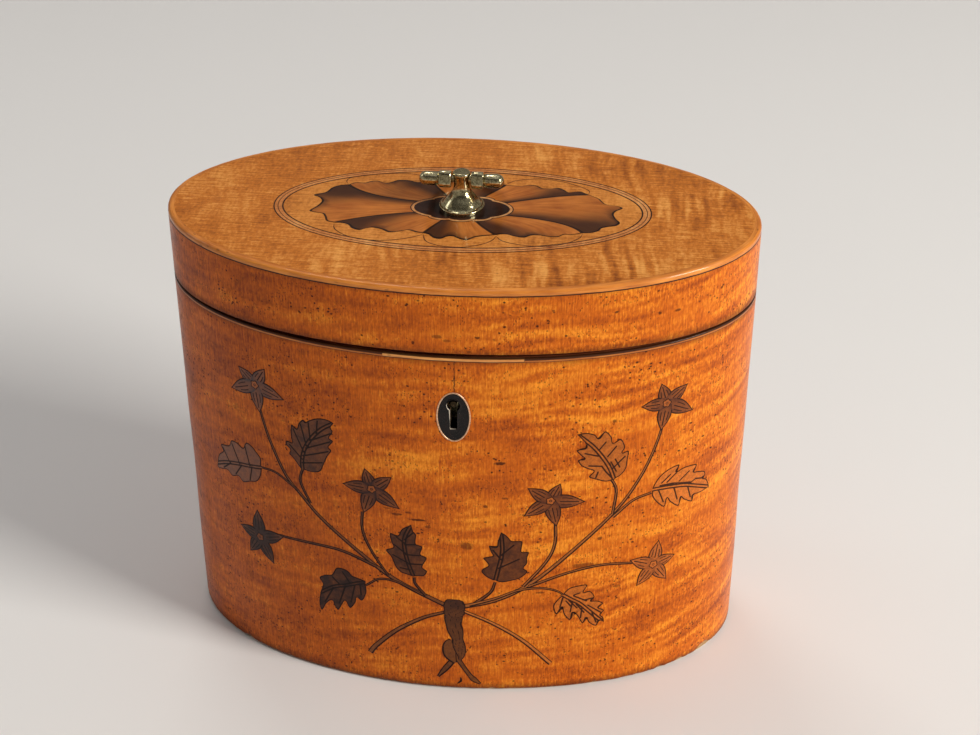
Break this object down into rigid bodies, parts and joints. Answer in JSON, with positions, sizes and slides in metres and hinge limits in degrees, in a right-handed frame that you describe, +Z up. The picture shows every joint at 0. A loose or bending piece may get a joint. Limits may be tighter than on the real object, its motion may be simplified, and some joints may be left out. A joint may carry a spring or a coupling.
{
  "type": "tea caddy",
  "caption": "Oval wooden tea caddy with a flat hinged lid, a brass bail handle, an inlaid oval and flower spray, a box lock and a loose inner lid over a foil-lined well.",
  "frame": {"origin": "centre of the oval underside, on the surface that the caddy stands on", "axes": "+X along the long axis to the right, +Y to the back where the hinges are, +Z up; the keyhole faces -Y"},
  "size_m": [0.152, 0.0856, 0.1357],
  "materials": {
    "satinwood": "french polished",
    "softwood": "plain planed",
    "mahogany": "oiled",
    "boxwood": "french polished",
    "ebony": "polished",
    "shaded_satinwood": "sand shaded, french polished",
    "stained_holly": "stained, french polished",
    "stained_flower": "stained, french polished",
    "tin_foil": "dull creased foil",
    "brass": "aged",
    "steel": "dull"
  },
  "bodies": {
    "box": {"carcass_wall": "softwood", "base_board": "softwood", "body_veneer": "satinwood", "rim_stringing": "boxwood", "lock_patch": "boxwood", "rim_banding": "mahogany", "ledge_lining": "mahogany", "foil_wall": "tin_foil", "foil_floor": "tin_foil", "escutcheon": "ebony", "escutcheon_rim": "brass", "lock_plate": "brass", "lock_case": "brass", "bolt_stump": "steel", "bolt_spring": "steel", "key_pin": "steel", "lock_ward": "steel", "lock_screws": "brass", "hinge_body_screws": "brass", "hinge_left_body_leaf": "brass", "hinge_right_body_leaf": "brass", "hinge_left_pin": "brass", "hinge_right_pin": "brass", "spray_leaves": "stained_holly", "spray_flowers": "stained_flower", "spray_stems": "stained_holly", "spray_ribbon": "stained_holly"},
    "lid": {"lid_wall": "softwood", "lid_rim_banding": "mahogany", "lid_veneer": "satinwood", "lid_board": "softwood", "lid_top_veneer": "satinwood", "lid_stringing": "boxwood", "patera_ground": "satinwood", "patera_petals": "shaded_satinwood", "patera_eye": "ebony", "patera_dark_lines": "ebony", "patera_light_line": "boxwood", "link_plate": "brass", "link_screws": "brass", "hinge_lid_screws": "brass", "hinge_left_lid_leaf": "brass", "hinge_right_lid_leaf": "brass", "handle_post": "brass", "bail_pin": "brass", "handle_washer": "brass", "handle_nut": "brass"},
    "bail": {"handle_bail": "brass"},
    "bolt": {"lock_bolt": "steel"},
    "floating_lid": {"inner_lid": "mahogany", "inner_lid_knob": "boxwood"}
  },
  "joints": [
    {"name": "lid_hinge", "type": "hinge", "parent": "box", "child": "lid", "pos_m": [0, 0.04215, 0.1067], "axis": [-1, 0, 0], "range_deg": [0, 100]},
    {"name": "handle_swing", "type": "hinge", "parent": "lid", "child": "bail", "pos_m": [0, 0, 0.1332], "axis": [1, 0, 0], "range_deg": [0, 230]},
    {"name": "bolt_slide", "type": "slide", "parent": "box", "child": "bolt", "axis": [1, 0, 0], "range_m": [0, 0.0035]},
    {"name": "inner_lid_lift", "type": "slide", "parent": "box", "child": "floating_lid", "axis": [0, 0, 1], "range_m": [0, 0.0155]}
  ]
}
